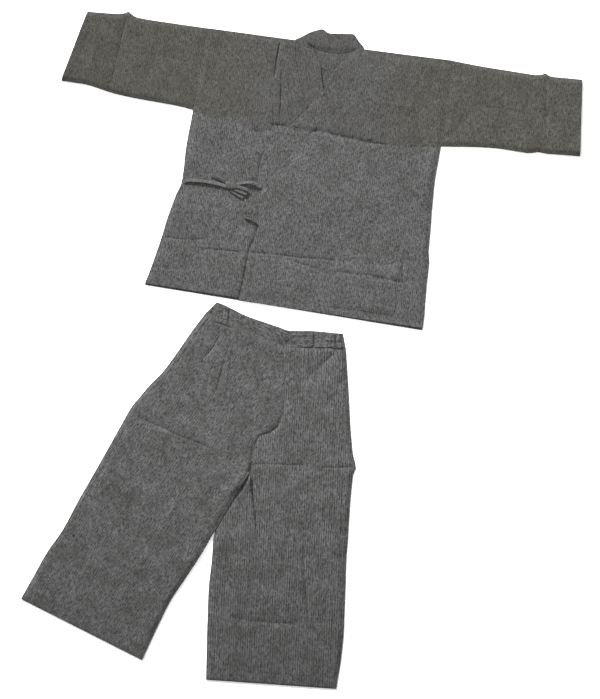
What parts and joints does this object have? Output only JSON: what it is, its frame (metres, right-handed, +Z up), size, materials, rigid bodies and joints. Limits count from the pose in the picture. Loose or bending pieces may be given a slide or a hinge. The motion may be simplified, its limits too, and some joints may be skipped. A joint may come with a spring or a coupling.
{
  "type": "jinbei set",
  "caption": "Jinbei set laid flat: long-sleeved wrap jacket with its side ties in a bow, and full-length trousers with a buttoned, part-elastic waistband.",
  "frame": {"origin": "centre of the set's bounding box, on the surface that it lies on", "axes": "+Z up from the surface; +Y towards the jacket's collar; +X towards the wearer's left"},
  "size_m": [1.4598, 1.7673, 0.0105],
  "materials": {
    "cloth": "matt charcoal-grey melange crepe with a fine irregular warp streak",
    "tie_cloth": "the same cloth, folded and sewn into narrow ties",
    "button": "satin"
  },
  "bodies": {
    "root": {"jacket_back": "cloth", "jacket_front_right": "cloth", "jacket_front_left": "cloth", "pocket": "cloth", "sleeve_right": "cloth", "sleeve_left": "cloth", "collar": "cloth", "trousers_front_right": "cloth", "trousers_front_left": "cloth", "trousers_back_right": "cloth", "trousers_back_left": "cloth", "waistband": "cloth", "tie_side": "tie_cloth", "bow_tail": "tie_cloth", "tie_front": "tie_cloth", "bow_loop_upper": "tie_cloth", "bow_loop_lower": "tie_cloth", "bow_knot": "tie_cloth", "tie_lower": "tie_cloth", "button": "button"}
  },
  "joints": []
}
